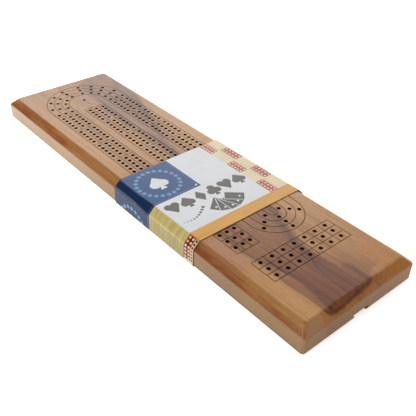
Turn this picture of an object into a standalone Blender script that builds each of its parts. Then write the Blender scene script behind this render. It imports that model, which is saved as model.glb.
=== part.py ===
"""A three-track cribbage board with a sliding peg store and a card belly band.

The board lies along X with its start end at +X. Z is up, and the band's underside is at Z = 0.
Every length is in metres.
"""
import math

import bmesh
import bpy
from mathutils import Matrix, Vector

MM = 0.001
FIT_GAP = 0.3 * MM              # air left between pieces that touch

# Board block
BOARD_LENGTH = 368.4 * MM
BOARD_WIDTH = 104.9 * MM
BOARD_THICKNESS = 18.8 * MM
CHAMFER_WIDTH = 6.1 * MM        # measured across the top face
CHAMFER_DROP = 5.7 * MM
EDGE_EASING = 1.2 * MM          # radius sanded onto every edge
EASING_STEPS = 2

# Card band round the board
BAND_THICKNESS = 0.35 * MM
BAND_X_MIN = -7.6 * MM
BAND_X_MAX = 85.3 * MM
BOARD_BASE_Z = BAND_THICKNESS + FIT_GAP
BOARD_TOP_Z = BOARD_BASE_Z + BOARD_THICKNESS

# Peg holes
HOLE_DIAMETER = 2.6 * MM
HOLE_DEPTH = 7.0 * MM
HOLE_SIDES = 6
LANES = (-1, 0, 1)              # each player's lane within a column, counted from its middle
LANE_PITCH = 6.46 * MM
COLUMN_PITCH = 26.5 * MM
HOLE_PITCH = 5.09 * MM
GROUP_HOLES = 5
GROUP_COUNT = 7
GROUP_PITCH = 28.72 * MM
FIRST_HOLE_X = -117.0 * MM

# The wide turn at the far end, round which the side columns meet
FAR_ROW_X = -124.85 * MM        # the row on each side where the turn starts
FAR_TURN_X = -131.85 * MM       # centre of the lanes' arcs
FAR_LANE_RADII = (19.6 * MM, 26.5 * MM, 33.0 * MM)
FAR_RAY_ANGLES = (12.2, 30.3, 47.3, 67.9)
FINISH_HOLE_X = -137.9 * MM

# The tight turn at the near end, from the middle column to the right one
NEAR_ROW_X = 83.55 * MM
NEAR_TURN_X = 92.2 * MM
NEAR_RAY_X = 85.6 * MM          # where the turn's rows would meet
NEAR_LANE_RADII = (6.8 * MM, 13.25 * MM, 19.85 * MM)
NEAR_RAY_ANGLES = (-47.4, 0.0, 47.4)

# The two scoring grids
START_GRID_X = 88.8 * MM
START_GRID_PITCH_X = 7.9 * MM
START_GRID_ROWS = 3
GAMES_GRID_X = 125.4 * MM
GAMES_GRID_PITCH_X = 7.2 * MM
GAMES_GRID_PITCH_Y = 10.2 * MM
GAMES_GRID_ROWS = 3
GAMES_GRID_COLUMNS = 7

# Underside: a T-shaped channel for the lid, open at the near end, below a routed peg store
CHANNEL_X_MIN = 5.5 * MM
CHANNEL_HALF_WIDTH = 6.05 * MM
CHANNEL_HEIGHT = 3.6 * MM
KERF_DEPTH = 1.2 * MM           # how far the side kerfs go beyond the channel's walls
KERF_HEIGHT = 1.9 * MM
STORE_X_MIN = 8.0 * MM
STORE_X_MAX = 169.0 * MM
STORE_HALF_WIDTH = 5.0 * MM
STORE_CEILING = 10.4 * MM       # above the board's underside
STORE_END_STEPS = 8

# Sliding lid
LID_SETBACK = 8.0 * MM          # from the board's near end
LID_TONGUE_THICKNESS = KERF_HEIGHT - 2 * FIT_GAP
GRIP_GROOVES = 5
GRIP_GROOVE_WIDTH = 1.3 * MM
GRIP_GROOVE_DEPTH = 0.8 * MM
GRIP_GROOVE_PITCH = 2.6 * MM
GRIP_END_MARGIN = 4.0 * MM

# Metal pegs, as (distance from the tip, radius) along the turned profile
PEG_PROFILE = (
    (0.0 * MM, 0.85 * MM),
    (0.5 * MM, 1.1 * MM),
    (14.0 * MM, 1.3 * MM),
    (14.3 * MM, 1.7 * MM),
    (15.3 * MM, 1.7 * MM),
    (16.2 * MM, 1.15 * MM),
    (20.0 * MM, 1.35 * MM),
    (26.4 * MM, 2.0 * MM),
    (27.5 * MM, 1.75 * MM),
    (28.0 * MM, 0.9 * MM),
)
PEG_SIDES = 10
PEG_LENGTH = PEG_PROFILE[-1][0]
PEG_HEAD_RADIUS = 2.0 * MM
PEG_LANE_Y = 2.6 * MM
PEG_FIRST_X = 12.0 * MM
PEG_SPACING = 30.8 * MM
PEG_REST_Z = BOARD_BASE_Z + CHANNEL_HEIGHT + PEG_HEAD_RADIUS


def clear_scene():
    for item in list(bpy.data.objects):
        bpy.data.objects.remove(item, do_unlink=True)


def make_material(name, colour, roughness, metallic=0.0):
    material = bpy.data.materials.new(name)
    material.use_nodes = True
    shader = material.node_tree.nodes["Principled BSDF"]
    shader.inputs["Base Color"].default_value = (*colour, 1.0)
    shader.inputs["Roughness"].default_value = roughness
    shader.inputs["Metallic"].default_value = metallic
    material.diffuse_color = (*colour, 1.0)
    return material


def link_object(name, mesh, material=None):
    item = bpy.data.objects.new(name, mesh)
    bpy.context.collection.objects.link(item)
    if material and not mesh.materials:
        mesh.materials.append(material)
    return item


def mesh_from_bmesh(name, shape, smooth_angle=None):
    bmesh.ops.recalc_face_normals(shape, faces=shape.faces)
    mesh = bpy.data.meshes.new(name)
    shape.to_mesh(mesh)
    shape.free()
    if smooth_angle is not None:
        mesh.shade_smooth()
        mesh.set_sharp_from_angle(angle=math.radians(smooth_angle))
    return mesh


def add_ring(shape, points):
    return [shape.verts.new(point) for point in points]


def bridge(shape, ring_a, ring_b):
    count = len(ring_a)
    for i in range(count):
        j = (i + 1) % count
        shape.faces.new((ring_a[i], ring_a[j], ring_b[j], ring_b[i]))


def add_loft(shape, rings):
    """Add one closed body through the rings of points, capped at both ends."""
    loops = [add_ring(shape, ring) for ring in rings]
    for lower, upper in zip(loops, loops[1:]):
        bridge(shape, lower, upper)
    shape.faces.new(loops[0])
    shape.faces.new(loops[-1])


def cut(item, cutter):
    """Subtract the cutter from the item and keep it out of the model."""
    cutter.hide_render = True
    cutter.display_type = "WIRE"
    modifier = item.modifiers.new(cutter.name, "BOOLEAN")
    modifier.operation = "DIFFERENCE"
    modifier.solver = "EXACT"
    modifier.object = cutter


def board_corners():
    """The board's cross-section as sharp corners (y, z), counter-clockwise from the lower right."""
    half = BOARD_WIDTH / 2
    shoulder = BOARD_BASE_Z + BOARD_THICKNESS - CHAMFER_DROP
    right = [(half, BOARD_BASE_Z), (half, shoulder), (half - CHAMFER_WIDTH, BOARD_TOP_Z)]
    left = [(-y, z) for y, z in reversed(right)]
    return right + left


def eased_outline(corners, offset, steps):
    """Round a convex outline's corners by EDGE_EASING, then move it outwards by the offset."""
    points = []
    count = len(corners)
    for i in range(count):
        before = Vector(corners[i - 1])
        corner = Vector(corners[i])
        after = Vector(corners[(i + 1) % count])
        edge_in = (corner - before).normalized()
        edge_out = (after - corner).normalized()
        normal_in = Vector((edge_in.y, -edge_in.x))
        normal_out = Vector((edge_out.y, -edge_out.x))
        turn = normal_in.angle_signed(normal_out)
        half_turn = abs(turn) / 2
        inwards = -(normal_in + normal_out).normalized()
        centre = corner + inwards * (EDGE_EASING / math.cos(half_turn))
        radius = EDGE_EASING + offset
        start = math.atan2(normal_in.y, normal_in.x)
        for step in range(steps + 1):
            angle = start + abs(turn) * step / steps
            points.append(centre + radius * Vector((math.cos(angle), math.sin(angle))))
    return points


def rounded_rectangle(half_x, half_y, radius, steps):
    points = []
    for quarter in range(4):
        sign_x = 1 if quarter in (0, 3) else -1
        sign_y = 1 if quarter in (0, 1) else -1
        centre = Vector((sign_x * (half_x - radius), sign_y * (half_y - radius)))
        for step in range(steps + 1):
            angle = math.radians(90 * (quarter + step / steps))
            points.append(centre + radius * Vector((math.cos(angle), math.sin(angle))))
    return points


def slot_outline(half_length, radius, steps):
    """Two half circles joined by straight sides, counter-clockwise."""
    points = []
    for end in (1, -1):
        for step in range(steps + 1):
            angle = math.radians(-90 * end + 180 * step / steps)
            x = end * (half_length - radius) + radius * math.cos(angle)
            points.append((x, radius * math.sin(angle)))
    return points


def board_blank():
    """The solid block: rounded rectangles stacked up the eased and chamfered edge profile."""
    outline = eased_outline(board_corners(), 0.0, EASING_STEPS)
    edge_profile = outline[:3 * (EASING_STEPS + 1)]
    rings = []
    for half_y, z in edge_profile:
        half_x = half_y + (BOARD_LENGTH - BOARD_WIDTH) / 2
        ring = rounded_rectangle(half_x, half_y, EDGE_EASING, EASING_STEPS)
        rings.append([(x, y, z) for x, y in ring])
    shape = bmesh.new()
    add_loft(shape, rings)
    return mesh_from_bmesh("board", shape)


def ray_on_arc(ray_x, arc_x, radius, angle):
    """Where a ray from (ray_x, 0) at an angle from +X meets an arc about (arc_x, 0)."""
    direction = Vector((math.cos(angle), math.sin(angle)))
    start = Vector((ray_x - arc_x, 0.0))
    along = start.dot(direction)
    reach = math.sqrt(radius ** 2 - start.length_squared + along ** 2) - along
    point = start + direction * reach
    return arc_x + point.x, point.y


def straight_column_holes():
    for column in (-1, 0, 1):
        for lane in LANES:
            y = column * COLUMN_PITCH + lane * LANE_PITCH
            for group in range(GROUP_COUNT):
                for hole in range(GROUP_HOLES):
                    yield FIRST_HOLE_X + group * GROUP_PITCH + hole * HOLE_PITCH, y


def far_turn_holes():
    for radius, lane in zip(FAR_LANE_RADII, LANES):
        for side in (-1, 1):
            yield FAR_ROW_X, side * (COLUMN_PITCH + lane * LANE_PITCH)
            for degrees in FAR_RAY_ANGLES:
                angle = math.pi - side * math.radians(degrees)
                yield ray_on_arc(FAR_ROW_X, FAR_TURN_X, radius, angle)


def near_turn_holes():
    turn_y = COLUMN_PITCH / 2
    for radius, lane in zip(NEAR_LANE_RADII, LANES):
        for side in (-1, 1):
            yield NEAR_ROW_X, turn_y + side * (turn_y + lane * LANE_PITCH)
        for degrees in NEAR_RAY_ANGLES:
            x, y = ray_on_arc(NEAR_RAY_X, NEAR_TURN_X, radius, math.radians(degrees))
            yield x, turn_y + y


def grid_holes():
    for i in range(START_GRID_ROWS):
        for lane in LANES:
            yield START_GRID_X + i * START_GRID_PITCH_X, lane * LANE_PITCH - COLUMN_PITCH
    middle = (GAMES_GRID_COLUMNS - 1) / 2
    for i in range(GAMES_GRID_ROWS):
        for j in range(GAMES_GRID_COLUMNS):
            yield GAMES_GRID_X + i * GAMES_GRID_PITCH_X, (j - middle) * GAMES_GRID_PITCH_Y


def peg_hole_cutter():
    centres = [*straight_column_holes(), *far_turn_holes(), *near_turn_holes(), *grid_holes()]
    centres.append((FINISH_HOLE_X, 0.0))
    shape = bmesh.new()
    radius = HOLE_DIAMETER / 2
    levels = (BOARD_TOP_Z - HOLE_DEPTH, BOARD_TOP_Z + 1 * MM)
    for x, y in centres:
        rings = []
        for z in levels:
            turns = [2 * math.pi * i / HOLE_SIDES for i in range(HOLE_SIDES)]
            ring = [(x + radius * math.cos(a), y + radius * math.sin(a), z) for a in turns]
            rings.append(ring)
        add_loft(shape, rings)
    return link_object("peg_hole_cutter", mesh_from_bmesh("peg_hole_cutter", shape))


def tee_section(half_width, wing, z_bottom, z_step, z_top):
    """A T lying on its stem (y, z): wings at the top reach beyond the half width."""
    right = [
        (half_width, z_bottom),
        (half_width, z_step),
        (half_width + wing, z_step),
        (half_width + wing, z_top),
    ]
    return right + [(-y, z) for y, z in reversed(right)]


def extrude_along_x(shape, section, x_min, x_max):
    add_loft(shape, [[(x, y, z) for y, z in section] for x in (x_min, x_max)])


def channel_cutter():
    ceiling = BOARD_BASE_Z + CHANNEL_HEIGHT
    section = tee_section(
        CHANNEL_HALF_WIDTH, KERF_DEPTH, BOARD_BASE_Z - 1 * MM, ceiling - KERF_HEIGHT, ceiling
    )
    shape = bmesh.new()
    extrude_along_x(shape, section, CHANNEL_X_MIN, BOARD_LENGTH / 2 + 1 * MM)
    return link_object("channel_cutter", mesh_from_bmesh("channel_cutter", shape))


def store_cutter():
    """A slot with round ends, as a router leaves it."""
    half_length = (STORE_X_MAX - STORE_X_MIN) / 2
    middle = (STORE_X_MAX + STORE_X_MIN) / 2
    outline = slot_outline(half_length, STORE_HALF_WIDTH, STORE_END_STEPS)
    levels = (BOARD_BASE_Z + CHANNEL_HEIGHT / 2, BOARD_BASE_Z + STORE_CEILING)
    shape = bmesh.new()
    add_loft(shape, [[(middle + x, y, z) for x, y in outline] for z in levels])
    return link_object("store_cutter", mesh_from_bmesh("store_cutter", shape))


def make_board():
    wood = make_material("board_wood", (0.42, 0.24, 0.12), 0.45)
    board = link_object("board", board_blank(), wood)
    cut(board, peg_hole_cutter())
    cut(board, channel_cutter())
    cut(board, store_cutter())


def make_lid():
    """The T-shaped strip that closes the peg store, with grip grooves near its near end."""
    wood = make_material("lid_wood", (0.36, 0.20, 0.10), 0.5)
    ceiling = BOARD_BASE_Z + CHANNEL_HEIGHT
    bottom = BOARD_BASE_Z + FIT_GAP
    tongue_top = ceiling - FIT_GAP
    section = tee_section(
        CHANNEL_HALF_WIDTH - FIT_GAP, KERF_DEPTH, bottom, tongue_top - LID_TONGUE_THICKNESS, tongue_top
    )
    x_min = CHANNEL_X_MIN + FIT_GAP
    x_max = BOARD_LENGTH / 2 - LID_SETBACK
    shape = bmesh.new()
    extrude_along_x(shape, section, x_min, x_max)
    lid = link_object("storage_lid", mesh_from_bmesh("storage_lid", shape), wood)

    grooves = bmesh.new()
    groove_reach = CHANNEL_HALF_WIDTH
    size = (GRIP_GROOVE_WIDTH, 2 * groove_reach, 2 * GRIP_GROOVE_DEPTH)
    for i in range(GRIP_GROOVES):
        x = x_max - GRIP_END_MARGIN - GRIP_GROOVE_WIDTH / 2 - i * GRIP_GROOVE_PITCH
        place = Matrix.Translation((x, 0.0, bottom)) @ Matrix.Diagonal((*size, 1.0))
        bmesh.ops.create_cube(grooves, size=1.0, matrix=place)
    cutter = link_object("grip_cutter", mesh_from_bmesh("grip_cutter", grooves))
    cut(lid, cutter)


def make_band():
    """The card band: a closed loop that follows the board's section with FIT_GAP all round."""
    card = make_material("band_card", (0.75, 0.75, 0.76), 0.4)
    corners = board_corners()
    inner = eased_outline(corners, FIT_GAP, EASING_STEPS)
    outer = eased_outline(corners, FIT_GAP + BAND_THICKNESS, EASING_STEPS)
    shape = bmesh.new()
    loops = []
    for outline, x in ((inner, BAND_X_MIN), (outer, BAND_X_MIN), (outer, BAND_X_MAX), (inner, BAND_X_MAX)):
        loops.append(add_ring(shape, [(x, y, z) for y, z in outline]))
    for i, loop in enumerate(loops):
        bridge(shape, loop, loops[(i + 1) % len(loops)])
    link_object("card_sleeve", mesh_from_bmesh("card_sleeve", shape), card)


def peg_mesh(name, material):
    """A turned peg along X with its tip at -X and its origin at half length."""
    shape = bmesh.new()
    rings = []
    for distance, radius in PEG_PROFILE:
        turns = [2 * math.pi * i / PEG_SIDES for i in range(PEG_SIDES)]
        x = distance - PEG_LENGTH / 2
        rings.append([(x, radius * math.cos(a), radius * math.sin(a)) for a in turns])
    add_loft(shape, rings)
    mesh = mesh_from_bmesh(name, shape, smooth_angle=35)
    mesh.materials.append(material)
    return mesh


def make_pegs():
    """Three pegs for each of three players, lying in two rows in the store."""
    metals = {
        "brass": make_material("peg_brass", (0.72, 0.50, 0.20), 0.25, 1.0),
        "nickel": make_material("peg_nickel", (0.66, 0.65, 0.62), 0.25, 1.0),
        "copper": make_material("peg_copper", (0.62, 0.30, 0.20), 0.3, 1.0),
    }
    right_row = [(slot, PEG_LANE_Y) for slot in range(5)]
    left_row = [(slot, -PEG_LANE_Y) for slot in range(1, 5)]
    places = iter(right_row + left_row)
    for metal, material in metals.items():
        mesh = peg_mesh("peg_" + metal, material)
        for number in (1, 2, 3):
            slot, y = next(places)
            peg = link_object(f"peg_{metal}_{number}", mesh)
            x = PEG_FIRST_X + slot * PEG_SPACING + PEG_LENGTH / 2
            peg.location = (x, y, PEG_REST_Z)
            if number == 2:
                peg.rotation_euler = (0.0, 0.0, math.pi)


clear_scene()
make_board()
make_lid()
make_band()
make_pegs()
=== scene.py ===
"""The looks of a three-track cribbage board: engraved hardwood, a printed card band and turned metal pegs.

Lengths are in metres in the CAD model's frame: +X along the board to its start end, +Z up out of the
playing face. The shader graphs and the band's print are in millimetres.
"""
import bisect
import functools
import math

import bmesh
import bpy
from mathutils import Matrix, Vector
from mathutils.geometry import delaunay_2d_cdt


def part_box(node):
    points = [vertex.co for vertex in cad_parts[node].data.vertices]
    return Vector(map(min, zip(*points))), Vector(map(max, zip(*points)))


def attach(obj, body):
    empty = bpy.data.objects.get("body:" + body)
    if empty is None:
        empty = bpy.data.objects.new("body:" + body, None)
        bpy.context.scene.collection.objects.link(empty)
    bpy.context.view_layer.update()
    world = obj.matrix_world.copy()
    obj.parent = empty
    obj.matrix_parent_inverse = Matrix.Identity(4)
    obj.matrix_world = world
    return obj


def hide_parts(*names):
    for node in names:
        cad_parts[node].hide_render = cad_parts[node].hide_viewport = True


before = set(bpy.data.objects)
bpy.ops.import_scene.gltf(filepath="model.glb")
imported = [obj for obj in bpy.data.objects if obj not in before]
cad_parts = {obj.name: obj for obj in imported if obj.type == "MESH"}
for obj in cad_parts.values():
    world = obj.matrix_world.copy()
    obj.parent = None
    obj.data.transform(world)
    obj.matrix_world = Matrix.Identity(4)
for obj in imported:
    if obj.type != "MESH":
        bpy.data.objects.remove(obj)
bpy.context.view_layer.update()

MM = 0.001
CLOSE = 1e-6                    # lengths that differ by less are the same

# Board block, from its CAD solid
BOARD_LOW, BOARD_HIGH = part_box("board")
BOARD_LENGTH = BOARD_HIGH.x - BOARD_LOW.x
BOARD_WIDTH = BOARD_HIGH.y - BOARD_LOW.y
BASE_Z = BOARD_LOW.z
TOP_Z = BOARD_HIGH.z
CHAMFER_WIDTH = 6.1 * MM
CHAMFER_DROP = 5.7 * MM
FOOT_RADIUS = 1.2 * MM
EDGE_RADIUS = 2.2 * MM          # along the chamfer's two edges
CORNER_RADIUS = 2.4 * MM        # in plan, at the four corners
EDGE_STEPS = 5
ARC_STEP = 5.0                  # degrees between the points of an engraved arc

# Peg holes
HOLE_RADIUS = 1.46 * MM
HOLE_RIM_RADIUS = 1.55 * MM     # at the mouth, which is slightly eased
HOLE_RIM_DEPTH = 0.12 * MM
HOLE_WALL_DEPTH = 6.5 * MM
HOLE_TIP_DEPTH = 7.0 * MM
HOLE_SIDES = 20
LANES = (-1, 0, 1)
LANE_PITCH = 6.46 * MM
COLUMN_PITCH = 26.5 * MM
HOLE_PITCH = 5.09 * MM
GROUP_HOLES = 5
GROUP_COUNT = 7
GROUP_PITCH = 28.72 * MM
FIRST_HOLE_X = -117.0 * MM
FAR_ROW_X = -124.85 * MM
FAR_TURN_X = -131.85 * MM
FAR_LANE_RADII = (19.6 * MM, 26.5 * MM, 33.0 * MM)
FAR_RAY_ANGLES = (12.2, 30.3, 47.3, 67.9)
FINISH_HOLE_X = -137.9 * MM
NEAR_ROW_X = 83.55 * MM
NEAR_TURN_X = 92.2 * MM
NEAR_RAY_X = 85.6 * MM
NEAR_LANE_RADII = (6.8 * MM, 13.25 * MM, 19.85 * MM)
NEAR_RAY_ANGLES = (-47.4, 0.0, 47.4)
START_GRID_X = 88.8 * MM
START_GRID_PITCH_X = 7.9 * MM
GAMES_GRID_X = 125.4 * MM
GAMES_GRID_PITCH_X = 7.2 * MM
GAMES_GRID_PITCH_Y = 10.2 * MM
GAMES_GRID_COLUMNS = 7

# Engraved lines between the lanes, between the groups and round the grids
LINE_WIDTH = 0.5 * MM
LINE_DEPTH = 0.28 * MM
FIRST_LINE_X = -120.9 * MM
START_LINES_X = 86.1 * MM
START_LINES_PITCH = 8.07 * MM
GAMES_LINES_X = 122.2 * MM
GAMES_LINES_PITCH_X = 7.12 * MM
GAMES_LINES_Y = -35.8 * MM
GAMES_LINES_PITCH_Y = 10.34 * MM

# Underside
CHANNEL_X_MIN = 5.5 * MM
CHANNEL_HALF_WIDTH = 6.05 * MM
CHANNEL_HEIGHT = 3.6 * MM
KERF_DEPTH = 1.2 * MM
KERF_HEIGHT = 1.9 * MM
STORE_X_MIN = 8.0 * MM
STORE_X_MAX = 169.0 * MM
STORE_HALF_WIDTH = 5.0 * MM
STORE_CEILING = 10.4 * MM
ROUTER_STEPS = 16

# Card band
BAND_LOW, BAND_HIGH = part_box("card_sleeve")
BAND_THICKNESS = 0.35 * MM
FIT_GAP = BASE_Z - BAND_THICKNESS
BAND_TOP_GAP = 0.05 * MM        # the card lies on the top and stands a little off the sides
BAND_SHOULDER = 5.5 * MM        # it bulges past the board's chamfers
BAND_FOOT_RADIUS = 1.85 * MM
BAND_SIDE_RADIUS = 4.2 * MM
BAND_TOP_RADIUS = 2.2 * MM
BAND_FOLD_STEPS = 6
LATTICE_MARGIN = 1.6 * MM
SEAM_Y = 16.0 * MM
SEAM_SLIT = 0.3 * MM
FLAP_HALF_WIDTH = 8.0 * MM
FLAP_THICKNESS = 0.2 * MM
FLAP_INSET = 0.4 * MM           # from the band's two edges

# Lid
LID_LOW, LID_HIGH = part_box("storage_lid")
LID_EDGE_RADIUS = 0.25 * MM
LID_EDGE_STEPS = 3
LID_END_INSET = 0.15 * MM
GRIP_GROOVES = 5
GRIP_GROOVE_RADIUS = 0.75 * MM
GRIP_GROOVE_SIDES = 20
GRIP_GROOVE_DEPTH = 0.7 * MM
GRIP_GROOVE_PITCH = 2.6 * MM
GRIP_END_MARGIN = 4.0 * MM

# Turned pegs, as (distance from the tip, radius) in millimetres
PEG_SIDES = 32
PEG_PROFILE = (
    (0.0, 0.0), (0.02, 0.55), (0.18, 0.82), (0.55, 1.05), (7.0, 1.16), (13.7, 1.26), (13.95, 1.3),
    (14.1, 1.6), (14.35, 1.7), (15.2, 1.7), (15.45, 1.6), (15.6, 1.2), (16.0, 1.08), (16.5, 1.12),
    (18.2, 1.2), (20.4, 1.38), (23.0, 1.66), (23.35, 1.7), (23.5, 1.55), (23.75, 1.55), (23.9, 1.74),
    (25.4, 1.92), (26.3, 1.97), (26.9, 1.9), (27.4, 1.68), (27.75, 1.25), (27.95, 0.65), (28.0, 0.0),
)
METALS = {
    "brass": ((0.78, 0.50, 0.16), 0.22),
    "nickel": ((0.66, 0.64, 0.60), 0.2),
    "copper": ((0.72, 0.30, 0.17), 0.24),
}


# ---------------- mesh tools

def add(name, data):
    item = bpy.data.objects.new(name, data)
    bpy.context.scene.collection.objects.link(item)
    return item


def make_object(name, mesh, materials=(), body=None):
    """An object from a mesh or a bmesh, with those materials if its mesh has none; with a body it rides
    that body.
    """
    if isinstance(mesh, bmesh.types.BMesh):
        mesh = mesh_from(name, mesh)
    item = add(name, mesh)
    if not mesh.materials:
        for material in materials:
            mesh.materials.append(material)
    if body:
        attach(item, body)
    return item


def mesh_from(name, shape, outward=True):
    if outward:
        bmesh.ops.recalc_face_normals(shape, faces=shape.faces)
    mesh = bpy.data.meshes.new(name)
    shape.to_mesh(mesh)
    shape.free()
    return mesh


def dress(face, material=0, smooth=False):
    face.material_index = material
    face.smooth = smooth


def bridge(shape, lower, upper, material=0, flat=lambda i: False):
    """Join two rings with quads; flat(i) says which of them aren't part of a rounded stretch."""
    count = len(lower)
    for i in range(count):
        j = (i + 1) % count
        face = shape.faces.new((lower[i], lower[j], upper[j], upper[i]))
        dress(face, material, not flat(i))


def rounded(corners, radii, steps):
    """Round each corner of a counter-clockwise polygon; returns (point, outward normal) pairs."""
    outline = []
    for i, (corner, radius) in enumerate(zip(corners, radii)):
        corner = Vector(corner)
        edge_in = (corner - Vector(corners[i - 1])).normalized()
        edge_out = (Vector(corners[(i + 1) % len(corners)]) - corner).normalized()
        start = math.atan2(-edge_in.x, edge_in.y)
        turn = math.atan2(edge_in.cross(edge_out), edge_in.dot(edge_out))
        side = math.copysign(1.0, turn)
        tangent = radius * math.tan(abs(turn) / 2)
        normal_in = Vector((edge_in.y, -edge_in.x))
        centre = corner - edge_in * tangent - normal_in * radius * side
        for step in range(steps + 1):
            angle = start + turn * step / steps
            normal = Vector((math.cos(angle), math.sin(angle)))
            outline.append((centre + normal * radius * side, normal))
    return outline


def rounded_rectangle(half_x, half_y, radius, steps):
    corners = [(half_x, -half_y), (half_x, half_y), (-half_x, half_y), (-half_x, -half_y)]
    return [point for point, _ in rounded(corners, [radius] * 4, steps)]


def mirrored(half_section):
    """The other half of a symmetrical section (y, z), in the order that closes the outline."""
    return [(-y, z) for y, z in reversed(half_section)]


def circle(x, y, radius, sides):
    turns = [2 * math.pi * i / sides for i in range(sides)]
    return [(x + radius * math.cos(a), y + radius * math.sin(a)) for a in turns]


def arc(x, y, radius, start, end):
    steps = max(2, round(abs(end - start) / ARC_STEP))
    turns = [math.radians(start + (end - start) * i / steps) for i in range(steps + 1)]
    return [(x + radius * math.cos(a), y + radius * math.sin(a)) for a in turns]


def ribbon(path, width):
    """The outline of a stroke of that width along a path."""
    left, right = [], []
    last = len(path) - 1
    for i, point in enumerate(path):
        along = Vector(path[min(i + 1, last)]) - Vector(path[max(i - 1, 0)])
        across = Vector((-along.y, along.x)).normalized() * width / 2
        left.append(Vector(point) + across)
        right.append(Vector(point) - across)
    return right + left[::-1]


def counter_clockwise(polygon):
    points = [Vector(p) for p in polygon]
    area = sum(a.cross(b) for a, b in zip(points, points[1:] + points[:1]))
    return points if area > 0 else points[::-1]


def tile(outline, regions, creases=()):
    """Triangulate a flat outline so that no triangle crosses a region's edge or a crease.

    Returns the points, the triangles, for each triangle the index of the last region that covers it
    (-1 where none does), and for each region the points that are its own corners.
    """
    points, faces, edges = [], [], []
    for polygon in (outline, *regions):
        corners = counter_clockwise(polygon)
        faces.append(list(range(len(points), len(points) + len(corners))))
        points.extend(corners)
    for ends in creases:
        edges.append((len(points), len(points) + 1))
        points.extend(Vector(end) for end in ends)
    triangles_only = 1
    closeness = 1e-7
    made = delaunay_2d_cdt(points, edges, faces, triangles_only, closeness, True)
    places, triangles, sources, owners = made[0], made[2], made[3], made[5]
    found = {}
    for place, inputs in enumerate(sources):
        for number in inputs:
            found[number] = place
    corners_of = [[found[number] for number in face] for face in faces]
    inside = [i for i, owner in enumerate(owners) if 0 in owner]
    return (
        places,
        [triangles[i] for i in inside],
        [max(owners[i]) - 1 for i in inside],
        corners_of[1:],
    )


def prism(rings, material=0, flat=lambda i: False):
    """A closed solid through rings of points, with a flat cap on the first and the last."""
    shape = bmesh.new()
    loops = [[shape.verts.new(point) for point in ring] for ring in rings]
    for lower, upper in zip(loops, loops[1:]):
        bridge(shape, lower, upper, material, flat)
    for loop in (loops[0], loops[-1]):
        dress(shape.faces.new(loop), material)
    return shape


def carve(item, cutters):
    """The mesh that is left of an object when the cutters are subtracted; none of the objects stay."""
    for cutter in cutters:
        modifier = item.modifiers.new(cutter.name, "BOOLEAN")
        modifier.operation = "DIFFERENCE"
        modifier.solver = "EXACT"
        modifier.object = cutter
    bpy.context.view_layer.update()
    graph = bpy.context.evaluated_depsgraph_get()
    mesh = bpy.data.meshes.new_from_object(item.evaluated_get(graph))
    for used in (item, *cutters):
        bpy.data.objects.remove(used, do_unlink=True)
    return mesh


# ---------------- materials

class Number:
    """A float socket of a shader graph; arithmetic on it adds Math nodes."""

    def __init__(self, graph, socket):
        self.graph = graph
        self.socket = socket

    def __add__(self, other):
        return self.graph.math("ADD", self, other)

    def __sub__(self, other):
        return self.graph.math("SUBTRACT", self, other)

    def __rsub__(self, other):
        return self.graph.math("SUBTRACT", other, self)

    def __mul__(self, other):
        return self.graph.math("MULTIPLY", self, other)

    def __truediv__(self, other):
        return self.graph.math("DIVIDE", self, other)

    def __abs__(self):
        return self.graph.math("ABSOLUTE", self)


class Graph:
    """A shader tree that is wired up with short calls."""

    def __init__(self, owner):
        owner.use_nodes = True
        self.tree = owner.node_tree

    def node(self, kind, settings=None, **inputs):
        item = self.tree.nodes.new("ShaderNode" + kind)
        for key, value in (settings or {}).items():
            setattr(item, key, value)
        for key, value in inputs.items():
            self.feed(item.inputs[key.replace("_", " ")], value)
        return item

    def feed(self, socket, value):
        if isinstance(value, Number):
            value = value.socket
        if isinstance(value, bpy.types.NodeSocket):
            self.tree.links.new(value, socket)
        else:
            socket.default_value = value

    def math(self, operation, *values, clamp=False):
        item = self.node("Math", {"operation": operation, "use_clamp": clamp})
        for socket, value in zip(item.inputs, values):
            self.feed(socket, value)
        return Number(self, item.outputs[0])

    def most(self, amounts):
        """The largest of several values."""
        return functools.reduce(lambda a, b: self.math("MAXIMUM", a, b), amounts)

    def vector(self, operation, a, b=None, **inputs):
        item = self.node("VectorMath", {"operation": operation}, **inputs)
        self.feed(item.inputs[0], a)
        if b is not None:
            self.feed(item.inputs[1], b)
        return item.outputs["Value" if operation == "DOT_PRODUCT" else "Vector"]

    def step(self, value, low, high):
        """Smoothly from 0 at low to 1 at high; low may be the larger."""
        item = self.node("MapRange", {"interpolation_type": "SMOOTHSTEP"}, Value=value)
        item.inputs["From Min"].default_value = low
        item.inputs["From Max"].default_value = high
        return Number(self, item.outputs["Result"])

    def remap(self, value, low, high):
        """A value from 0 to 1 spread over low to high."""
        return self.math("MULTIPLY_ADD", value, high - low, low)

    def mix(self, amount, a, b, blend="MIX"):
        item = self.node("Mix", {"data_type": "RGBA", "blend_type": blend, "clamp_factor": True})
        self.feed(item.inputs["Factor"], amount)
        for socket, value in ((item.inputs[6], a), (item.inputs[7], b)):
            self.feed(socket, (*value, 1.0) if isinstance(value, tuple) else value)
        return item.outputs[2]


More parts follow.
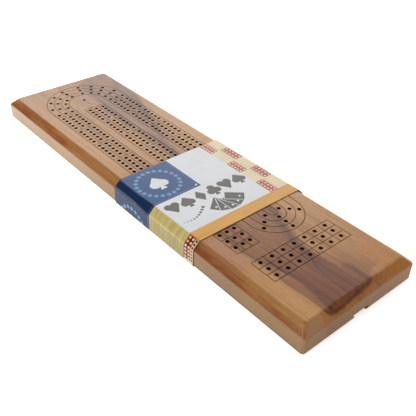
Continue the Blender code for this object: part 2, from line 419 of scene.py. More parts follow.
class Finish(Graph):
    """One procedural material; what is the same all over it is set on the shader's own sockets."""

    def __init__(self, name, **constants):
        self.material = bpy.data.materials.new(name)
        super().__init__(self.material)
        self.shader = self.tree.nodes["Principled BSDF"]
        self.set(**constants)
        place = self.node("TexCoord").outputs["Object"]
        self.place = self.vector("SCALE", place, Scale=1 / MM)
        split = self.node("SeparateXYZ", Vector=self.place)
        self.x, self.y, self.z = (Number(self, socket) for socket in split.outputs)

    def set(self, **sockets):
        for key, value in sockets.items():
            self.feed(self.shader.inputs[key.replace("_", " ")], value)
        return self.material

    def noise(self, frequency, detail=2.0, roughness=0.5):
        """Noise from 0 to 1 whose features repeat `frequency` times a millimetre along X, Y and Z."""
        stretched = self.vector("MULTIPLY", self.place, frequency)
        item = self.node("TexNoise", Vector=stretched, Scale=1.0, Detail=detail, Roughness=roughness)
        return Number(self, item.outputs["Fac"])

    def curve(self, place, length, points, low, high):
        """A smooth line through given (place, value) points, over a length centred on 0.

        The values are from low to high, and the first and last go on to the ends of the length.
        """
        length = length / MM
        line = [((x + length / 2) / length, (value - low) / (high - low)) for x, value in points]
        line = [(min(max(share, 0.0), 1.0), value) for share, value in line]
        if line[0][0] > 0.0:
            line.insert(0, (0.0, line[0][1]))
        if line[-1][0] < 1.0:
            line.append((1.0, line[-1][1]))
        item = self.node("FloatCurve", Value=self.math("MULTIPLY_ADD", place, 1 / length, 0.5))
        spots = item.mapping.curves[0].points
        spots[0].location = line[0]
        spots[1].location = line[-1]
        for spot in line[1:-1]:
            spots.new(*spot)
        item.mapping.update()
        return self.remap(item.outputs[0], low, high)

    def bump(self, height, distance, normal=None):
        """Relief `distance` millimetres high where the height goes from 0 to 1."""
        item = self.node("Bump", Height=height, Distance=distance * MM, Strength=1.0)
        if normal:
            self.feed(item.inputs["Normal"], normal)
        return item.outputs["Normal"]


# The wood's figure. A streak is (line, half width, strength) and a zone is (lower edge, upper edge,
# softness, strength). Lines and edges are given as (x, y) points in millimetres, and strengths as
# (x, strength) points.
VEIL_ZONES = (
    (((-184, 24), (-165, 12), (-145, 8), (-100, 4), (-60, 2), (-20, 3), (60, -4)),
     ((-184, 60), (-142, 60), (-112, 44), (-92, 35), (-70, 28), (-45, 20), (0, 12), (60, 8)), 4.0,
     ((-184, 1.0), (-168, 0.9), (-120, 0.95), (-60, 0.8), (0, 0.6), (60, 0.0))),
)
PALE_ZONES = (
    (((-184, 60), (-100, 56), (-84, 38), (-60, 29), (-30, 24), (60, 22)),
     ((-184, 90), (184, 90)), 5.0,
     ((-110, 0.0), (-80, 0.6), (-20, 0.75), (60, 0.6), (100, 0.35), (125, 0.0))),
    (((-184, -90), (184, -90)),
     ((-184, -30), (130, -34), (184, -33)), 3.0,
     ((-184, 0.0), (-160, 0.2), (-100, 0.4), (-70, 0.5), (-40, 0.35), (60, 0.1), (115, 0.2),
      (140, 0.5), (184, 0.6))),
)
HEART_ZONES = (
    (((60, -33), (90, -33), (118, -30), (130, -27), (144, -24), (184, -25.5)),
     ((60, 16), (90, 16), (105, 11), (125, 5.5), (140, 6.5), (160, 8.5), (184, 8.5)), 2.8,
     ((45, 0.0), (70, 0.4), (86, 0.5), (112, 0.6), (134, 0.78), (148, 0.86), (160, 0.9),
      (184, 0.95))),
    (((140, -1), (184, -1)),
     ((140, 12), (155, 14), (165, 15.5), (184, 15.5)), 2.0,
     ((130, 0.0), (144, 0.35), (154, 0.45), (162, 0.72), (172, 0.82), (184, 0.95))),
    (((110, -32), (140, -30.5), (184, -30.5)),
     ((110, -20), (184, -20)), 1.2,
     ((104, 0.0), (124, 0.5), (160, 0.6), (176, 0.75), (184, 0.8))),
    (((140, 8), (184, 8)),
     ((140, 25), (184, 27)), 4.0,
     ((140, 0.0), (155, 0.2), (168, 0.34), (184, 0.38))),
)
WARM_ZONES = (
    (((120, 24), (184, 26)),
     ((120, 90), (184, 90)), 9.0,
     ((116, 0.0), (145, 0.4), (165, 0.8), (184, 1.0))),
)
ROSE_ZONES = (
    (((60, -90), (184, -90)),
     ((60, -30), (100, -31), (184, -36)), 5.0,
     ((60, 0.0), (80, 0.8), (112, 0.9), (124, 0.4), (136, 0.0))),
)
DARK_STREAKS = (
    (((-184, 50), (-150, 42), (-138, 34), (-115, 27)), 4.0,
     ((-165, 0.0), (-148, 0.4), (-136, 0.35), (-118, 0.0))),
    (((-150, 43), (-115, 41), (-95, 34), (-80, 29), (-62, 23)), 3.2,
     ((-150, 0.0), (-110, 0.6), (-94, 0.7), (-66, 0.35), (-50, 0.0))),
    (((-150, 11), (-118, 9), (-95, 5), (-72, 5)), 3.6,
     ((-150, 0.0), (-115, 0.45), (-92, 0.5), (-72, 0.2), (-60, 0.0))),
    (((-75, 27), (-60, 22), (-42, 15), (-28, 9), (20, 6)), 3.2,
     ((-80, 0.0), (-58, 0.6), (-36, 0.7), (10, 0.5), (45, 0.0))),
    (((-72, 6), (-50, 9.5), (-30, 8.5), (-6, 7.5), (40, 5)), 2.5,
     ((-72, 0.1), (-54, 0.6), (-42, 1.0), (0, 1.0), (50, 0.0))),
    (((60, 15), (86, 14), (96, 12), (106, 8), (118, 4), (130, 1.5), (142, -1.5)), 4.2,
     ((40, 0.0), (60, 0.5), (84, 0.75), (110, 0.75), (130, 0.62), (140, 0.45), (150, 0.0))),
    (((120, 3.5), (134, -0.5), (142, -1.5), (150, -5), (158, -6.8), (180, -8.5)), 1.3,
     ((122, 0.0), (138, 0.7), (148, 1.0), (160, 0.8), (180, 0.8))),
    (((60, 13), (86, 12), (100, 12)), 5.0,
     ((40, 0.0), (60, 0.3), (86, 0.45), (97, 0.3), (104, 0.0))),
    (((60, -32), (86, -30.5), (110, -30), (122, -28), (132, -25.5), (146, -22.5), (180, -25)), 1.6,
     ((40, 0.0), (60, 0.4), (86, 0.65), (112, 0.8), (124, 0.8), (150, 0.9), (180, 1.0))),
    (((150, 10.5), (160, 12), (184, 12)), 1.6,
     ((150, 0.0), (160, 0.3), (172, 0.45), (184, 0.5))),
    (((140, -30), (184, -30.5)), 0.9,
     ((136, 0.0), (150, 0.4), (184, 0.5))),
    (((144, 3.8), (160, 5.5), (184, 6)), 0.8,
     ((140, 0.0), (150, 0.3), (184, 0.35))),
)
RIM_LINE = (                    # (y, x) of the dark rim across the near end
    (-60, 172), (-35, 174), (-31, 177.6), (-28, 180.6), (-23, 181.5), (-14, 181.3), (-4, 180.7),
    (4, 180.1), (10, 179.4), (14, 177.6), (18, 174), (60, 172),
)
END_BLUSH = (                   # (y, ruddiness) of the near end's chamfer
    (-60, 0.0), (-40, 0.03), (-33, 0.36), (-26, 0.54), (0, 0.78), (16, 0.72), (26, 0.4),
    (36, 0.06), (60, 0.0),
)
SIDE_BLUSH = (                  # (x, ruddiness) of the long chamfers
    (-184, 1.2), (-165, 1.8), (-120, 1.9), (-80, 1.35), (-30, 0.45), (50, 1.0), (95, 1.7),
    (120, 1.9), (138, 0.7), (152, 1.1), (184, 1.2),
)
SIDE_BLUSH_FALL = (             # (x, how much of it is lower down)
    (-184, 0.35), (-60, 0.4), (50, 0.9), (92, 1.8), (120, 1.8), (138, 0.9), (184, 1.2),
)
BLUSH_COLOUR = (0.72, 0.45, 0.28)
MARK_X = -130.5                 # a small blue-grey mark beside the finish hole
MARK_REACH_X = 4.4
MARK_REACH_Y = 1.3
SAP_COLOUR = (0.595, 0.296, 0.09)
SAP_PALE_COLOUR = (0.69, 0.37, 0.13)
SAP_WARM_COLOUR = (0.55, 0.215, 0.021)
SAP_ROSE_COLOUR = (0.535, 0.25, 0.108)
SAP_DEEP_COLOUR = (0.48, 0.218, 0.061)
VEIL_COLOUR = (0.26, 0.103, 0.035)
HEART_COLOUR = (0.205, 0.034, 0.0)
STREAK_COLOUR = (0.085, 0.019, 0.002)
SAWN_COLOUR = (0.27, 0.194, 0.103)
# the long sides towards the near end, darkened as painted shade
SAWN_NEAR_SHADE_COLOUR = (0.235, 0.17, 0.09)
END_GRAIN_COLOUR = (0.18, 0.108, 0.058)
END_GRAIN_PALE_COLOUR = (0.3, 0.21, 0.135)
END_PALE_COLOUR = (0.47, 0.235, 0.11)
MARK_COLOUR = (0.11, 0.095, 0.09)
SOOT_COLOUR = (0.012, 0.006, 0.004)
# painted shade inside the peg holes
HOLE_SHADE_COLOUR = (0.034, 0.004, 0.0)
PORE_COLOUR = (0.09, 0.04, 0.02)
GROWTH_TINT = (0.84, 0.77, 0.7)
FIBRE_TINT = (0.78, 0.72, 0.67)
FLECK_TINT = (0.87, 0.82, 0.77)
# painted shade along the bottom edge of the upright faces
FOOT_SHADE_COLOUR = (0.04, 0.018, 0.008)
LACQUERED_TOUCH = (0.2, 0.3, 0.02)  # least and most roughness, and the relief in millimetres
RAW_TOUCH = (0.6, 0.8, 0.06)
CURVE_LIMIT = 90.0              # every listed line stays within this of the board's middle
END_EDGE = (BOARD_LENGTH / 2 - CHAMFER_WIDTH) / MM  # where the chamfered ends start


def figure(g, ripple):
    """Sapwood with its zones and streaks; returns the colour and how much of it is heartwood."""
    drift = g.noise((0.012, 0.03, 0.03))
    wavy_y = g.y + (g.remap(drift, -5.0, 5.0) + g.remap(ripple, -1.6, 1.6))

    def line(points):
        return g.curve(g.x, BOARD_LENGTH, points, -CURVE_LIMIT, CURVE_LIMIT)

    def level(points):
        return g.curve(g.x, BOARD_LENGTH, points, 0.0, 1.0)

    def zone(lower, upper, softness, strength):
        above = g.step(wavy_y - line(lower), -softness, softness)
        below = g.step(wavy_y - line(upper), softness, -softness)
        return above * below * level(strength)

    def streak(centre, half_width, strength):
        return g.step(abs(wavy_y - line(centre)), 1.7 * half_width, 0.0) * level(strength)

    def zones(rows):
        return g.most([zone(*row) for row in rows])

    # The streaks and the heartwood break off where the near end's chamfer starts, at a dark rim
    beyond = g.x - g.curve(g.y, BOARD_WIDTH, RIM_LINE, 170.0, 190.0) + g.remap(ripple, -1.2, 1.2)
    rim = g.step(abs(beyond), 1.7, 0.2) * g.step(g.x, END_EDGE - 1.6, END_EDGE + 0.4) * 0.85
    inner = g.step(beyond, 0.8, -0.8) * g.step(g.x, END_EDGE - 1.3, END_EDGE + 0.5) * 0.12
    shallow = g.step(g.z, 8.0, 15.0)
    dark = g.most([streak(*row) for row in DARK_STREAKS]) * g.step(beyond, 1.0, -1.0)
    dark = g.most([dark, rim, inner]) * shallow
    patches = g.noise((0.03, 0.3, 0.3), detail=3.0)
    patchy = g.remap(patches, 0.4, 1.4)
    heart = zones(HEART_ZONES) * (shallow * g.step(beyond, 1.5, -1.0))
    heart = g.math("MULTIPLY", heart, g.remap(patches, 0.6, 1.3), clamp=True)
    heart = heart * g.remap(g.step(g.x, END_EDGE - 0.6, END_EDGE + 1.4), 1.0, 0.72)

    broad = g.noise((0.006, 0.07, 0.07), detail=3.0, roughness=0.55)
    veins = g.step(g.noise((0.025, 1.2, 1.2), detail=4.0, roughness=0.65), 0.44, 0.68)
    colour = g.mix(g.step(broad, 0.35, 0.68), SAP_COLOUR, SAP_DEEP_COLOUR)
    for amount, layer in (
        (zones(PALE_ZONES), SAP_PALE_COLOUR),
        (zones(WARM_ZONES), SAP_WARM_COLOUR),
        (zones(ROSE_ZONES), SAP_ROSE_COLOUR),
        (zones(VEIL_ZONES) * (patchy * 0.9), VEIL_COLOUR),
        (heart, HEART_COLOUR),
        (heart * veins * 0.7, STREAK_COLOUR),
        (dark * (patchy * 0.8), STREAK_COLOUR),
    ):
        colour = g.mix(amount, colour, layer)
    return colour, heart


def small_mark(g, colour, ripple):
    """A blue-grey smudge beside the finish hole."""
    off_x = (g.x - MARK_X) / MARK_REACH_X
    off_y = (g.y + g.remap(ripple, -1.0, 1.0)) / MARK_REACH_Y
    mark = g.step(off_x * off_x + off_y * off_y, 1.2, 0.1) * g.step(g.z, 12.0, 16.0)
    return g.mix(mark * 0.8, colour, MARK_COLOUR)


def cut_faces(g, colour, heart):
    """Ruddy chamfers, sawn sides that darken towards the near end as painted shade, end grain and a
    painted shade along the foot; returns the colour and the end grain.
    """
    normal = g.node("NewGeometry").outputs["Normal"]
    facing = g.node("SeparateXYZ", Vector=g.vector("ABSOLUTE", normal)).outputs
    not_upright = g.step(facing["Z"], 0.38, 0.66)
    slope = not_upright * g.step(facing["Z"], 0.99, 0.76)
    upright = 1.0 - not_upright

    cloudy = g.step(g.noise((0.03, 0.14, 0.3), detail=4.0, roughness=0.6), 0.36, 0.62)
    streaky = g.step(g.noise((0.04, 0.8, 1.2), detail=3.0), 0.38, 0.64)
    ruddy = g.remap(cloudy, 0.12, 0.5) + streaky * 0.22
    ruddy = ruddy * g.curve(g.x, BOARD_LENGTH, SIDE_BLUSH, 0.0, 2.0)
    downward = g.remap(g.step(g.z, 18.6, 14.6), -0.5, 0.5)
    fall = g.curve(g.x, BOARD_LENGTH, SIDE_BLUSH_FALL, 0.0, 2.0)
    ruddy = g.math("MULTIPLY", ruddy, downward * fall + 1.0, clamp=True)
    ruddy = ruddy * g.remap(g.step(g.y, 20.0, -20.0), 0.3, 1.0)
    end_slope = slope * g.step(facing["X"], 0.3, 0.55)
    blush = g.curve(g.y, BOARD_WIDTH, END_BLUSH, 0.0, 1.0)
    blush = blush * g.remap(g.step(g.z, 13.5, 18.5), 0.55, 1.0) * g.step(g.x, 0.0, 50.0)
    ruddy = end_slope * (blush - ruddy) + ruddy
    ruddy = ruddy * g.remap(heart, 1.0, 0.2)
    end_pale_and_far_sheen = g.step(blush, 0.25, 0.0) * g.step(g.y, 5.0, -5.0)
    # Painted reflection: the whole far end's chamfer also takes the pale colour, standing in for the sky
    # it reflects; the pale patch near the near end's -Y corner is the wood's own.
    end_pale_and_far_sheen = g.most([end_pale_and_far_sheen, g.step(g.x, 0.0, -50.0)])
    colour = g.mix(end_slope * end_pale_and_far_sheen, colour, END_PALE_COLOUR)
    colour = g.mix(slope * ruddy, colour, BLUSH_COLOUR, "MULTIPLY")

    sawn = upright * g.step(facing["Y"], 0.4, 0.8)
    scratches = g.remap(g.noise((0.5, 1.0, 1.6), detail=3.0, roughness=0.7), 0.15, 0.85)
    # Painted shade: the long sides darken from 60 to 160 mm along X, standing in for the dimmer light
    # towards the near end.
    sawn_colour_with_shade = g.mix(g.step(g.x, 60.0, 160.0), SAWN_COLOUR, SAWN_NEAR_SHADE_COLOUR)
    colour = g.mix(sawn * scratches, colour, sawn_colour_with_shade)
    end_grain = upright - sawn
    arcs = g.remap(g.noise((0.3, 1.7, 0.45), detail=3.0, roughness=0.6), 0.25, 0.85)
    end_colour = g.mix(g.step(g.y, -25.0, 52.0), END_GRAIN_COLOUR, END_GRAIN_PALE_COLOUR)
    colour = g.mix(end_grain * arcs, colour, end_colour)
    # Painted shade: the lowest 2.5 mm of the upright faces is darkened, standing in for the shade along
    # the rounded bottom edge.
    foot = g.step(g.z, 2.5, 1.7) * g.step(facing["Z"], 0.99, 0.9)
    return g.mix(foot * 0.9, colour, FOOT_SHADE_COLOUR), end_grain


def wood(name, char_and_shade=0.0, raw=False, marked=False, painted_far_haze=False, char_and_shade_colour=SOOT_COLOUR, shine=0.36):
    """Lacquered hardwood: figure, growth lines, pores and end grain.

    A darkening amount gives a cut surface char on the routed and engraved cuts, and in the peg holes a
    painted shade for the dark inside them. It is less towards the far end where that is asked for, as a
    painted haze, and raw leaves it unlacquered.
    """
    g = Finish(name, IOR=1.5, Specular_IOR_Level=shine)
    ripple = g.noise((0.05, 0.16, 0.16))
    growth = g.noise((0.012, 0.55, 0.55), detail=4.0, roughness=0.6)
    fibre = g.noise((0.06, 3.2, 3.2), detail=3.0, roughness=0.6)
    flecks = g.noise((0.4, 1.3, 1.3), detail=2.0, roughness=0.7)
    pores = g.step(g.noise((0.22, 6.5, 6.5), detail=1.0), 0.66, 0.74)
    colour, heart = figure(g, ripple)
    if marked:
        colour = small_mark(g, colour, ripple)
    for amount, tint in (
        (g.step(growth, 0.42, 0.72), GROWTH_TINT),
        (g.step(fibre, 0.4, 0.78), FIBRE_TINT),
        (g.step(flecks, 0.35, 0.7), FLECK_TINT),
    ):
        colour = g.mix(amount, colour, tint, "MULTIPLY")
    colour = g.mix(pores * 0.5, colour, PORE_COLOUR)
    colour, end_grain = cut_faces(g, colour, heart)
    # Char on the cut surfaces; on the peg holes' walls this darkening is painted shade.
    if char_and_shade:
        least, most = min(1.0, 0.85 * char_and_shade), min(1.0, 1.15 * char_and_shade)
        char_and_shade_amount = g.remap(g.noise((0.8, 0.8, 0.8)), least, most)
        # Painted haze: the char lightens towards the far end, standing in for the haze the top reflects
        # there.
        if painted_far_haze:
            char_and_shade_amount = char_and_shade_amount * g.remap(g.step(g.x, -175.0, 20.0), 0.5, 1.0)
        colour = g.mix(char_and_shade_amount, colour, char_and_shade_colour)
    low, high, depth = RAW_TOUCH if raw else LACQUERED_TOUCH
    relief = g.bump(fibre * 0.5 + pores * -0.8, depth)
    relief = g.bump(g.noise((0.05, 0.12, 0.12), detail=1.0), 0.06, normal=relief)
    roughness = g.remap(growth, low, high) + pores * 0.15 + end_grain * 0.3
    return g.set(Base_Color=colour, Roughness=roughness, Normal=relief)


def scaled(colour, share):
    return tuple(share * channel for channel in colour)


def printed_card(name, colour, grain=None):
    """Varnished print on card: ink mottle, paper fibre and scuffs, and optionally a printed wood grain."""
    g = Finish(name, IOR=1.5, Specular_IOR_Level=0.32)
    mottle = g.noise((0.09, 0.09, 0.09), detail=3.0)
    ink = g.noise((2.4, 2.4, 2.4))
    shade = g.mix(g.step(mottle, 0.3, 0.75), colour, scaled(colour, 0.95))
    shade = g.mix(g.step(ink, 0.45, 0.8) * 0.35, shade, scaled(colour, 0.84))
    if grain:
        lines = g.noise((1.0, 0.035, 0.05), detail=4.0, roughness=0.65)
        streaks = g.noise((0.28, 0.02, 0.03))
        shade = g.mix(g.step(lines, 0.42, 0.7), shade, grain)
        shade = g.mix(g.step(streaks, 0.5, 0.75) * 0.4, shade, grain)
    fibres = g.noise((1.1, 1.1, 1.1), detail=4.0, roughness=0.6)
    scuffs = g.step(g.noise((0.35, 0.06, 0.2), detail=3.0), 0.55, 0.75)
    return g.set(Base_Color=shade, Roughness=scuffs * 0.14 + 0.28, Normal=g.bump(fibres, 0.012))


def raw_card_and_gap_shade(name):
    """Unprinted brown board with loose fibres, made darker so that the band's cut edges show the gap
    between band and wood as a painted shadow.
    """
    g = Finish(name, IOR=1.45)
    pulp = g.noise((0.5, 0.5, 0.5), detail=4.0, roughness=0.65)
    fibres = g.noise((0.6, 4.0, 4.0))
    shade = g.mix(g.step(pulp, 0.3, 0.75), (0.40, 0.24, 0.13), (0.30, 0.17, 0.09))
    shade = g.mix(g.step(fibres, 0.6, 0.8) * 0.5, shade, (0.20, 0.11, 0.06))
    return g.set(Base_Color=shade, Roughness=g.remap(pulp, 0.7, 0.9), Normal=g.bump(pulp, 0.05))


def metal(name, colour, roughness):
    """Turned and polished metal: fine tool rings round the X axis, with a little tarnish."""
    g = Finish(name, Metallic=1.0)
    rings = g.noise((9.0, 0.15, 0.15))
    tarnish = g.noise((0.35, 0.8, 0.8), detail=4.0, roughness=0.6)
    shade = g.mix(g.step(tarnish, 0.45, 0.75), colour, scaled(colour, 0.62))
    shade = g.mix(rings * 0.25, shade, scaled(colour, 0.8))
    polish = g.remap(rings, roughness - 0.05, roughness + 0.07)
    rough = g.step(tarnish, 0.4, 0.8) * 0.16 + polish
    return g.set(Base_Color=shade, Roughness=rough, Normal=g.bump(rings, 0.004))


# ---------------- board

# The hole walls' finish is painted shade: nearly black wood standing in for the dark inside the peg holes.
LACQUERED, ROUTED, SHADED_HOLE_WALLS, ENGRAVED = range(4)   # the order of the wooden pieces' finishes


def ray_on_arc(ray_x, arc_x, radius, angle):
    """Where a ray from (ray_x, 0) at an angle from +X meets an arc about (arc_x, 0)."""
    direction = Vector((math.cos(angle), math.sin(angle)))
    start = Vector((ray_x - arc_x, 0.0))
    along = start.dot(direction)
    reach = math.sqrt(radius ** 2 - start.length_squared + along ** 2) - along
    point = start + direction * reach
    return arc_x + point.x, point.y


def straight_column_holes():
    for column in LANES:
        for lane in LANES:
            y = column * COLUMN_PITCH + lane * LANE_PITCH
            for group in range(GROUP_COUNT):
                for hole in range(GROUP_HOLES):
                    yield FIRST_HOLE_X + group * GROUP_PITCH + hole * HOLE_PITCH, y


def turn_holes():
    for radius, lane in zip(FAR_LANE_RADII, LANES):
        for side in (-1, 1):
            yield FAR_ROW_X, side * (COLUMN_PITCH + lane * LANE_PITCH)
            for degrees in FAR_RAY_ANGLES:
                angle = math.pi - side * math.radians(degrees)
                yield ray_on_arc(FAR_ROW_X, FAR_TURN_X, radius, angle)
    turn_y = COLUMN_PITCH / 2
    for radius, lane in zip(NEAR_LANE_RADII, LANES):
        for side in (-1, 1):
            yield NEAR_ROW_X, turn_y + side * (turn_y + lane * LANE_PITCH)
        for degrees in NEAR_RAY_ANGLES:
            x, y = ray_on_arc(NEAR_RAY_X, NEAR_TURN_X, radius, math.radians(degrees))
            yield x, turn_y + y


def grid_holes():
    for i in LANES:
        for lane in LANES:
            yield START_GRID_X + (i + 1) * START_GRID_PITCH_X, lane * LANE_PITCH - COLUMN_PITCH
    middle = (GAMES_GRID_COLUMNS - 1) / 2
    for i in LANES:
        for j in range(GAMES_GRID_COLUMNS):
            yield GAMES_GRID_X + (i + 1) * GAMES_GRID_PITCH_X, (j - middle) * GAMES_GRID_PITCH_Y


def lane_borders():
    """The four lines that run from the start grid round both turns to the end of the middle column."""
    turn_y = COLUMN_PITCH / 2
    for k in range(4):
        outer = COLUMN_PITCH + (k - 1.5) * LANE_PITCH
        inner = outer - turn_y
        path = [(START_LINES_X + 3 * START_LINES_PITCH, -outer)]
        path += arc(FAR_TURN_X, 0.0, outer, 270, 90)
        path += arc(NEAR_TURN_X, turn_y, inner, 90, -90)
        path.append((FIRST_LINE_X, turn_y - inner))
        yield path


def cross_lines(x0, pitch, count, y0, y1):
    """Evenly spaced lines across the board."""
    for k in range(count):
        x = x0 + k * pitch
        yield [(x, y0), (x, y1)]


def grid_lines():
    """The lines between the groups of five and those of the two scoring grids."""
    half_column = 1.5 * LANE_PITCH
    for column in LANES:
        y = column * COLUMN_PITCH
        ends = (y - half_column, y + half_column)
        yield from cross_lines(FIRST_LINE_X, GROUP_PITCH, GROUP_COUNT + 1, *ends)
    ends = (-COLUMN_PITCH - half_column, -COLUMN_PITCH + half_column)
    yield from cross_lines(START_LINES_X, START_LINES_PITCH, 4, *ends)
    high_y = GAMES_LINES_Y + GAMES_GRID_COLUMNS * GAMES_LINES_PITCH_Y
    yield from cross_lines(GAMES_LINES_X, GAMES_LINES_PITCH_X, 4, GAMES_LINES_Y, high_y)
    high_x = GAMES_LINES_X + 3 * GAMES_LINES_PITCH_X
    for k in range(GAMES_GRID_COLUMNS + 1):
        y = GAMES_LINES_Y + k * GAMES_LINES_PITCH_Y
        yield [(GAMES_LINES_X, y), (high_x, y)]


def board_section():
    """Sharp corners of the board's cross-section (y, z), counter-clockwise from the lower right."""
    half = BOARD_WIDTH / 2
    right = [(half, BASE_Z), (half, TOP_Z - CHAMFER_DROP), (half - CHAMFER_WIDTH, TOP_Z)]
    return right + mirrored(right)


def board_blank():
    """A block of rounded rectangles stacked up the chamfered edge; returns it and its top ring."""
    per_corner = EDGE_STEPS + 1
    radii = [FOOT_RADIUS] + [EDGE_RADIUS] * 4 + [FOOT_RADIUS]
    outline = rounded(board_section(), radii, EDGE_STEPS)[:3 * per_corner]
    shape = bmesh.new()
    loops = []
    for point, _ in outline:
        half_x = point.x + (BOARD_LENGTH - BOARD_WIDTH) / 2
        ring = rounded_rectangle(half_x, point.x, CORNER_RADIUS, EDGE_STEPS)
        loops.append([shape.verts.new((x, y, point.y)) for x, y in ring])
    for k, (lower, upper) in enumerate(zip(loops, loops[1:])):
        level_band = k % per_corner == EDGE_STEPS
        bridge(shape, lower, upper, flat=lambda i: level_band and i % per_corner == EDGE_STEPS)
    top_ring = [tuple(vert.co) for vert in loops[-1]]
    for ring in (loops[0], loops[-1]):
        dress(shape.faces.new(ring))
    return shape, top_ring


def channel_cutter():
    half = CHANNEL_HALF_WIDTH
    ceiling = BASE_Z + CHANNEL_HEIGHT
    step = ceiling - KERF_HEIGHT
    right = [(half, BASE_Z - MM), (half, step), (half + KERF_DEPTH, step), (half + KERF_DEPTH, ceiling)]
    ends = (CHANNEL_X_MIN, BOARD_HIGH.x + MM)
    rings = [[(x, y, z) for y, z in right + mirrored(right)] for x in ends]
    return make_object("channel_cutter", prism(rings, ROUTED, flat=lambda i: True))


def store_cutter():
    middle = (STORE_X_MAX + STORE_X_MIN) / 2
    reach = (STORE_X_MAX - STORE_X_MIN) / 2
    outline = rounded_rectangle(reach, STORE_HALF_WIDTH, STORE_HALF_WIDTH * 0.999, ROUTER_STEPS)
    levels = (BASE_Z + CHANNEL_HEIGHT / 2, BASE_Z + STORE_CEILING)
    rings = [[(middle + x, y, z) for x, y in outline] for z in levels]
    straight = ROUTER_STEPS + 1
    shape = prism(rings, ROUTED, flat=lambda i: i % straight == ROUTER_STEPS)
    return make_object("store_cutter", shape)


def sink_hole(shape, ring, x, y):
    """A drilled hole below a ring of rim vertices: the eased mouth, the wall and the drill point."""
    above = ring
    for depth in (HOLE_RIM_DEPTH, HOLE_WALL_DEPTH):
        spots = circle(x, y, HOLE_RADIUS, HOLE_SIDES)
        below = [shape.verts.new((px, py, TOP_Z - depth)) for px, py in spots]
        bridge(shape, above, below, SHADED_HOLE_WALLS)
        above = below
    tip = shape.verts.new((x, y, TOP_Z - HOLE_TIP_DEPTH))
    for i in range(HOLE_SIDES):
        face = shape.faces.new((above[i], above[(i + 1) % HOLE_SIDES], tip))
        dress(face, SHADED_HOLE_WALLS, smooth=True)


def add_playing_face(shape, top_ring):
    """Close the blank's top with a plate that has every hole and engraved line cut into it."""
    centres = [*straight_column_holes(), *turn_holes(), *grid_holes(), (FINISH_HOLE_X, 0.0)]
    holes = [circle(x, y, HOLE_RIM_RADIUS, HOLE_SIDES) for x, y in centres]
    lines = [ribbon(path, LINE_WIDTH) for path in (*lane_borders(), *grid_lines())]
    outline = [(x, y) for x, y, _ in top_ring]
    places, triangles, owners, corners = tile(outline, lines + holes)

    def spot(point):
        return round(point.x / MM, 3), round(point.y / MM, 3)

    rim = {spot(v.co): v for v in shape.verts if TOP_Z - v.co.z < CLOSE}
    high = [rim.get(spot(p)) or shape.verts.new((p.x, p.y, TOP_Z)) for p in places]

    @functools.cache
    def lowered(i):
        return shape.verts.new((places[i].x, places[i].y, TOP_Z - LINE_DEPTH))

    in_line = set()
    for triangle, owner in zip(triangles, owners):
        if owner >= len(lines):
            continue
        engraved = owner >= 0
        corner = lowered if engraved else high.__getitem__
        face = shape.faces.new([corner(i) for i in triangle])
        dress(face, ENGRAVED if engraved else LACQUERED)
        if engraved:
            in_line.update(zip(triangle, triangle[1:] + triangle[:1]))
    for i, j in in_line:
        if (j, i) not in in_line:
            wall = shape.faces.new((lowered(j), lowered(i), high[i], high[j]))
            dress(wall, ENGRAVED)
    for (x, y), ring in zip(centres, corners[len(lines):]):
        sink_hole(shape, [high[i] for i in ring], x, y)
    for vert in [v for v in shape.verts if not v.link_faces]:
        shape.verts.remove(vert)


def make_board():
    finishes = (
        wood("board_wood_figure", marked=True),
        wood("board_wood_routed", char_and_shade=0.3, raw=True),
        # Painted shade: the hole walls are nearly black, standing in for the shade inside the peg holes.
        wood("board_wood_hole_shade", char_and_shade=1.12, raw=True, char_and_shade_colour=HOLE_SHADE_COLOUR, shine=0.02),
        wood("board_wood_engraved", char_and_shade=0.9, raw=True, painted_far_haze=True, shine=0.1),
    )
    blank, top_ring = board_blank()
    carved = carve(make_object("board_blank", blank, finishes), (channel_cutter(), store_cutter()))
    shape = bmesh.new()
    shape.from_mesh(carved)
    level = [f for f in shape.faces if f.normal.z > 0.99]
    top = [f for f in level if TOP_Z - f.calc_center_median().z < CLOSE]
    bmesh.ops.delete(shape, geom=top, context="FACES_ONLY")
    add_playing_face(shape, top_ring)
    board = make_object("playing_board", shape, finishes, "board")
    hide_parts("board")


# ---------------- lid

def make_lid():
    """The T-shaped strip with eased edges and rounded grip grooves."""
    finishes = (wood("lid_wood_figure"), wood("lid_wood_cut", char_and_shade=0.12, raw=True))
    half_low = (LID_HIGH.y - LID_LOW.y) / 2 - KERF_DEPTH
    half_high = (LID_HIGH.y - LID_LOW.y) / 2
    step = LID_HIGH.z - (KERF_HEIGHT - 2 * FIT_GAP)
    right = [(half_low, LID_LOW.z), (half_low, step), (half_high, step), (half_high, LID_HIGH.z)]
    corners = right + mirrored(right)
    outline = rounded(corners, [LID_EDGE_RADIUS] * len(corners), LID_EDGE_STEPS)
    stations = (
        (LID_LOW.x, LID_END_INSET), (LID_LOW.x + LID_EDGE_RADIUS, 0.0),
        (LID_HIGH.x - LID_EDGE_RADIUS, 0.0), (LID_HIGH.x, LID_END_INSET),
    )
    rings = [[(x, *(point - normal * inset)) for point, normal in outline] for x, inset in stations]
    strip = prism(rings, flat=lambda i: i % (LID_EDGE_STEPS + 1) == LID_EDGE_STEPS)
    cutters = []
    for i in range(GRIP_GROOVES):
        x = LID_HIGH.x - GRIP_END_MARGIN - GRIP_GROOVE_RADIUS - i * GRIP_GROOVE_PITCH
        centre_z = LID_LOW.z - GRIP_GROOVE_RADIUS + GRIP_GROOVE_DEPTH
        spots = circle(x, centre_z, GRIP_GROOVE_RADIUS, GRIP_GROOVE_SIDES)
        rings = [[(px, y, pz) for px, pz in spots] for y in (-half_high - MM, half_high + MM)]
        cutters.append(make_object(f"grip_{i}", prism(rings, ROUTED)))
    mesh = carve(make_object("lid_blank", strip, finishes), cutters)
    lid = make_object("sliding_lid", mesh, finishes, "storage_lid")
    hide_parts("storage_lid")


